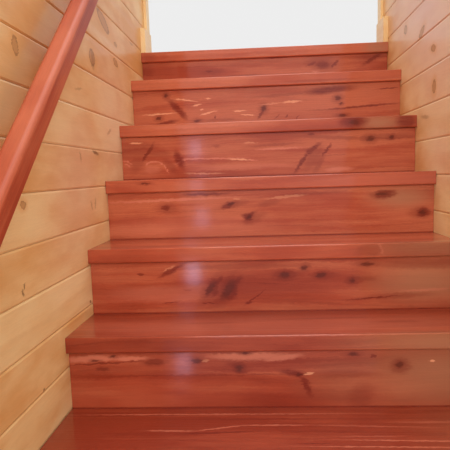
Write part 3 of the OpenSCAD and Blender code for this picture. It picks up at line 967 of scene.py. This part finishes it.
# %% Board material
LEFT_WALL_MARKS = [
    ("knot", -171, 1728, 28, 36, 10), ("knot", 361, 1806, 56, 42, -15), ("knot", 505, 1938, 130, 36, -16),
    ("knot", 648, 1905, 36, 16, 0), ("knot", 635, 1841, 56, 20, -10), ("stain_and_shade", 892, 1955, 60, 8, 0),
    ("stain_and_shade", 198, 1528, 12, 26, 20), ("dark", 340, 1543, 56, 10, -8), ("stain_and_shade", 505, 1612, 50, 9, 20),
    ("knot", -190, 1425, 26, 15, 0), ("dark", -214, 1268, 7, 14, -40), ("dark", -222, 1257, 7, 14, 30),
    ("stain_and_shade", 218, 1701, 60, 6, 8), ("dark", -154, 1036, 10, 7, 0), ("dark", 206, 1144, 12, 8, 0),
    ("stain_and_shade", 272, 1398, 12, 26, 30), ("stain_and_shade", 308, 1402, 12, 30, -20),
    # Painted reflection: these two rosy tones near the steps stand for the red steps mirrored in the boards.
    ("rosy faint", 560, 1660, 500, 420, 39), ("rosy faint", 180, 1480, 460, 340, 39),
    # The straight band at the end of the next line is painted shade and the rail's painted reflection.
    ("stain_and_shade", 366, 1800, 30, 26, -15), ("worn straight", 0, 1790, 1500, 210, 39.5)]
RIGHT_WALL_MARKS = [
    ("knot", 800, 1938, 40, 28, 0), ("knot", 596, 1884, 60, 22, -20), ("knot", 471, 1811, 42, 18, 10),
    # Painted reflection: the rosy tone high on this wall is a window's painted sheen, and the faint one lower
    # down is the red steps mirrored.
    ("knot", 458, 1702, 32, 36, 0), ("stain_and_shade", 549, 1625, 80, 10, 6), ("rosy", 560, 1960, 900, 420, 32),
    ("rosy faint", 380, 1520, 300, 200, 20)]
BOARD_SEEDS = 50.0
BOARD_COAT_ROUGHNESS = 0.18


def boards_material(name, seed, marks, share, coat):
    material, graph, shader = new_material(name)
    board = graph.node("ShaderNodeAttribute", attribute_name="board")
    number, tone, row = graph.split(board.outputs["Vector"])
    x, y, z = graph.split(graph.node("ShaderNodeTexCoord").outputs["Object"])
    place, near, masks = add_marks(graph, graph.join(y, z, 0.0), marks, seed)
    along, up, _ = graph.split(place)
    place = graph.join(along, graph.minus(up, row), x)
    board_seed = graph.plus(graph.times(number, BOARD_SEEDS), seed)
    knot = graph.group(SCATTERED_KNOTS, Place=place, Near=near, Seed=board_seed, Spacing=0.34, Spread=0.07,
                       Size=0.024, Share=share)
    wood = graph.group(PINE, Place=knot["Place"], Near=knot["Near"], Seed=board_seed, Tone=tone, **masks)
    finish_wood(graph, shader, wood, coat, BOARD_COAT_ROUGHNESS)
    return material


# %% [markdown]
# The boards of each wall are counted from the height of one of its joints. The inner boards get few
# knots besides the listed ones, and the outer ones have more from the scatter.

# %% Both walls
LEFT_JOINT, RIGHT_JOINT = 1.4471, 1.6592
LEFT_COAT, RIGHT_COAT = 0.25, 0.3
WALLS = [("left", LEFT_JOINT, LEFT_WALL_MARKS, 3.0, LEFT_COAT),
         ("right", RIGHT_JOINT, RIGHT_WALL_MARKS, 6.0, RIGHT_COAT)]
FEW_KNOTS, MANY_KNOTS = 0.08, 0.5
for side, joint_at, marks, seed, coat in WALLS:
    for part, seen, share in (("inner", marks, FEW_KNOTS), ("outer", (), MANY_KNOTS)):
        name = side + "_" + part + "_boards"
        piece = board_wall(name, joint_at, (side == "left") == (part == "outer"), name)
        piece.data.materials.append(boards_material(name + "_pine", seed, seen, share, coat))

# %% [markdown]
# The picture was taken from the lower floor, at eye height, looking up between the two walls. The
# camera's place, its three turns and its lens were found by fitting the corners of the nosings and
# the risers, and the joint lines of the wall boards.

# %% Camera
CAMERA_PLACE = Vector((-0.020, LANDING_NOSE.y - 2.3728, LANDING_TOP - 0.4854))
YAW, PITCH, ROLL = -0.0647, -0.1295, -0.0317
LENS_PIXELS, FRAME_PIXELS, SENSOR = 584.9, 450, 36.0
MIDDLE_ROW = 250

forward = Vector((math.sin(YAW) * math.cos(PITCH), math.cos(YAW) * math.cos(PITCH), math.sin(PITCH)))
level_right = Vector((math.cos(YAW), -math.sin(YAW), 0.0))
level_up = level_right.cross(forward)
right = level_right * math.cos(ROLL) + level_up * math.sin(ROLL)
up = level_up * math.cos(ROLL) - level_right * math.sin(ROLL)
camera_data = bpy.data.cameras.new("camera")
camera_data.sensor_width = SENSOR
camera_data.lens = LENS_PIXELS * SENSOR / FRAME_PIXELS
camera_data.shift_y = (MIDDLE_ROW - FRAME_PIXELS / 2) / FRAME_PIXELS
camera_data.clip_start = 0.01
camera = bpy.data.objects.new("camera", camera_data)
camera.matrix_world = Matrix.Translation(CAMERA_PLACE) @ Matrix((right, up, -forward)).transposed().to_4x4()
bpy.context.scene.collection.objects.link(camera)
bpy.context.scene.camera = camera
print("camera at", [round(c, 3) for c in CAMERA_PLACE], "lens", round(camera_data.lens, 2))


# %% [markdown]
# A plain pale floor and world stand in for the studio. The world shows as a clean pale backdrop to
# the camera and in reflections, and lights the object more softly than that. One wide lamp hangs over
# the upper part of the flight, so the upper steps are the brightest. A weaker one stands behind the
# camera, and two more to the left and the right of it. The gloss of the steps shows a narrow window
# on the left, so five small bluish panes stand there, one above another.

# %% Floor and light
bpy.ops.mesh.primitive_plane_add(size=60, location=(0, 0, 0))
floor = bpy.context.object
floor.name = "floor"
floor_material, graph, shader = new_material("pale_floor")
shader.inputs["Base Color"].default_value = FLOOR_PALE
shader.inputs["Roughness"].default_value = 0.8
floor.data.materials.append(floor_material)

AMBIENT = 0.54
BACKDROP = (0.85, 0.85, 0.85, 1.0)
world = bpy.data.worlds.new("studio")
bpy.context.scene.world = world
world.use_nodes = True
graph = Graph(world.node_tree)
background = world.node_tree.nodes["Background"]
background.inputs["Color"].default_value = BACKDROP
rays = graph.node("ShaderNodeLightPath").outputs
seen = graph.math("MAXIMUM", rays["Is Camera Ray"], rays["Is Glossy Ray"])
seen = graph.math("MAXIMUM", seen, rays["Is Transmission Ray"])
graph.plug(background.inputs["Strength"], graph.plus(AMBIENT, graph.times(seen, 1.0 - AMBIENT)))


def soft_lamp(name, place, target, size, power, colour=(1.0, 1.0, 1.0), spread=180, in_gloss=False):
    data = bpy.data.lights.new(name, "AREA")
    data.shape = "RECTANGLE"
    data.size = size[0]
    data.size_y = size[1]
    data.energy = power
    data.spread = math.radians(spread)
    data.color = colour
    lamp = bpy.data.objects.new(name, data)
    lamp.location = place
    aim = Vector(target) - Vector(place)
    lamp.rotation_euler = aim.to_track_quat("-Z", "Y").to_euler()
    lamp.visible_camera = False
    lamp.visible_glossy = in_gloss
    bpy.context.scene.collection.objects.link(lamp)


SKY, COOL, WARM, BLUISH = (0.98, 0.98, 1.0), (0.97, 0.98, 1.0), (1.0, 0.98, 0.96), (0.55, 0.64, 1.0)
soft_lamp("overhead", (0.05, 0.6, 4.2), (0.0, 0.6, 1.5), (3.6, 2.4), 56, SKY, in_gloss=True)
soft_lamp("front", (0.2, -3.6, 2.5), (0.0, 0.5, 1.6), (1.8, 1.2), 8, COOL, spread=60)
soft_lamp("front_right", (1.5, -3.4, 1.9), (-0.48, 0.4, 1.5), (1.0, 1.2), 4, WARM, spread=50)
soft_lamp("front_left", (-1.5, -3.4, 1.9), (0.48, 0.3, 1.4), (1.0, 1.2), 3.8, WARM, spread=50)
PANE_SIZE, PANE_BACK, PANE_LEAN = (0.09, 0.14), -2.2, 0.2
WINDOW_PANES = [(-0.55, 1.68, 0.24), (-0.5, 1.4, 0.12), (-0.47, 1.15, 0.18), (-0.5, 0.8, 0.35),
                (-0.53, 0.3, 0.18)]
for number, (across, height, power) in enumerate(WINDOW_PANES):
    soft_lamp("pane_%d" % number, (across, PANE_BACK, height), (across + PANE_LEAN, 0.0, height), PANE_SIZE,
              power, BLUISH, in_gloss=True)
bpy.context.scene.view_settings.view_transform = "Standard"
